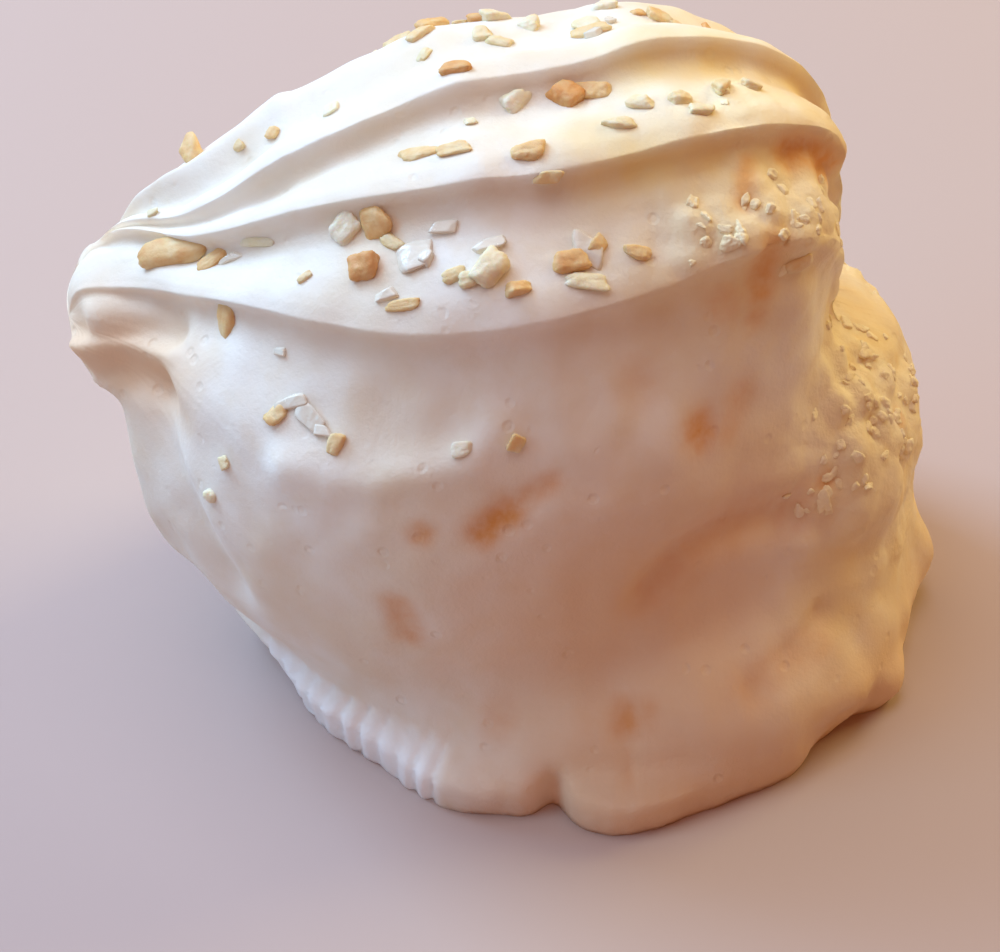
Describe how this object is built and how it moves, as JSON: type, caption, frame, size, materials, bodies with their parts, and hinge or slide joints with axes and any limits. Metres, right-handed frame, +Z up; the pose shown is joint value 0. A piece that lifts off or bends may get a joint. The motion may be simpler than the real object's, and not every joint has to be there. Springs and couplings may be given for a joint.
{
  "type": "meringue cookie",
  "caption": "Star-piped meringue cookie: a ridged shell leaning over a low pleated foot, with its tip drawn off to one side and a flat base to rest on.",
  "frame": {"origin": "middle of the round foot, on the flat underside", "axes": "+Z up from the flat base; -X towards the drawn-out tip, along the ridges; -Y towards the smooth front wall"},
  "size_m": [0.0564, 0.0443, 0.0418],
  "materials": {
    "baked_meringue": null
  },
  "bodies": {
    "root": {"meringue": "baked_meringue"}
  },
  "joints": []
}
